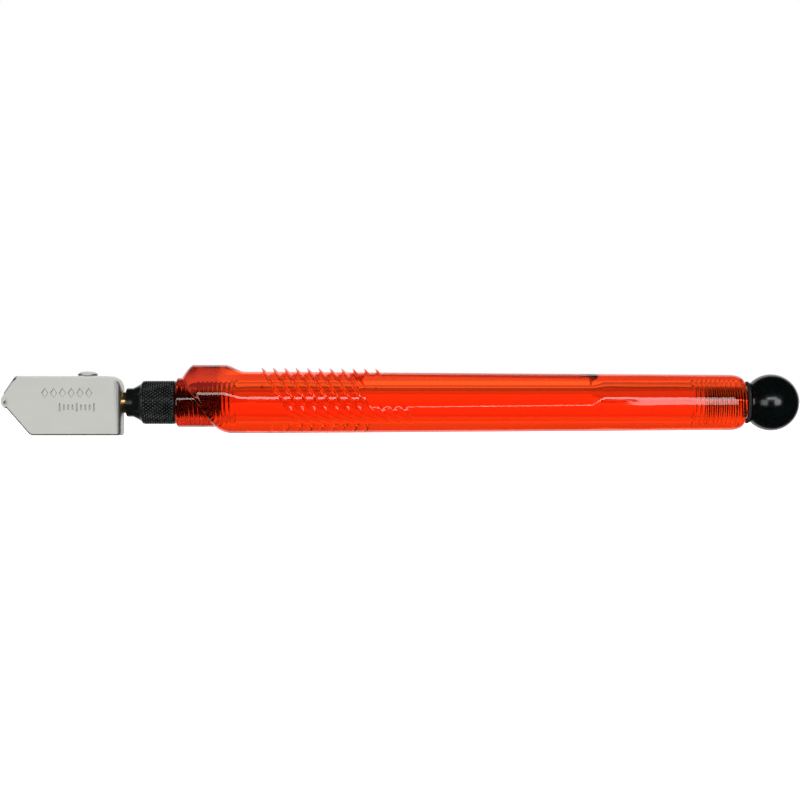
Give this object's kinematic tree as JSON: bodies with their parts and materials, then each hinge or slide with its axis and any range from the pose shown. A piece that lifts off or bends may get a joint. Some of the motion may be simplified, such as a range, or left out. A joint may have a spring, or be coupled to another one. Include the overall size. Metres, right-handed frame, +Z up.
{
  "type": "glass cutter",
  "caption": "Pencil glass cutter: flat plated head with a cutting wheel, knurled black sleeve, clear red oil handle with slanted ribs and finger flats, black ball cap.",
  "frame": {"origin": "centre of the object's box in plan, on the surface that the head's flat lower edge rests on", "axes": "+X along the tool towards the ball cap, the cutting wheel is at -X; +Z up through the thumb hump and the lock screw; +Y across the tool"},
  "size_m": [0.1782, 0.0146, 0.0157],
  "materials": {
    "nickel_plate": "satin nickel plate with softly rounded edges",
    "carbide": "ground carbide",
    "steel": "dull plated steel",
    "brass": "turned, bright",
    "seal_rubber": "moulded, slightly oily",
    "felt": "twisted cotton felt",
    "black_metal": "black oxide over a fine diamond knurl",
    "clear_red_plastic": "clear red-orange moulded acrylic, polished",
    "black_plastic": "moulded, glossy"
  },
  "bodies": {
    "handle": {"handle_barrel": "clear_red_plastic"},
    "sleeve_travel": {"sleeve_o_ring": "seal_rubber"},
    "sleeve": {"front_sleeve": "black_metal", "brass_shank": "brass", "shank_o_ring_front": "seal_rubber", "shank_o_ring_rear": "seal_rubber", "felt_wick": "felt"},
    "head": {"head_block": "nickel_plate", "wheel_axle": "steel"},
    "lock_screw": {"head_lock_screw": "steel"},
    "wheel": {"cutting_wheel": "carbide"},
    "cap_travel": {"cap_o_ring": "seal_rubber"},
    "cap": {"ball_cap": "black_plastic"}
  },
  "joints": [
    {"name": "sleeve_unscrew_travel", "type": "slide", "parent": "handle", "child": "sleeve_travel", "axis": [-1, 0, 0], "range_m": [0, 0.01]},
    {"name": "sleeve_unscrew_turn", "type": "hinge", "parent": "sleeve_travel", "child": "sleeve", "pos_m": [-0.0491, 0, 0.0073], "axis": [-1, 0, 0], "range_deg": [0, 3600]},
    {"name": "head_swivel", "type": "hinge", "parent": "sleeve", "child": "head", "pos_m": [-0.0697, 0, 0.0073], "axis": [1, 0, 0], "range_deg": [-15, 15]},
    {"name": "lock_screw_turn", "type": "hinge", "parent": "head", "child": "lock_screw", "pos_m": [-0.0697, 0, 0.0123], "axis": [0, 0, 1], "range_deg": [0, 360]},
    {"name": "wheel_spin", "type": "hinge", "parent": "head", "child": "wheel", "pos_m": [-0.0878, 0, 0.0073], "axis": [0, 1, 0], "continuous": true},
    {"name": "cap_unscrew_travel", "type": "slide", "parent": "handle", "child": "cap_travel", "axis": [1, 0, 0], "range_m": [0, 0.009]},
    {"name": "cap_unscrew_turn", "type": "hinge", "parent": "cap_travel", "child": "cap", "pos_m": [0.0749, 0, 0.0073], "axis": [1, 0, 0], "range_deg": [0, 3240]}
  ],
  "couplings": [
    {"joint": "sleeve_unscrew_turn", "follows": "sleeve_unscrew_travel", "rad_per_m": 6283.2},
    {"joint": "cap_unscrew_turn", "follows": "cap_unscrew_travel", "rad_per_m": 6283.2}
  ]
}
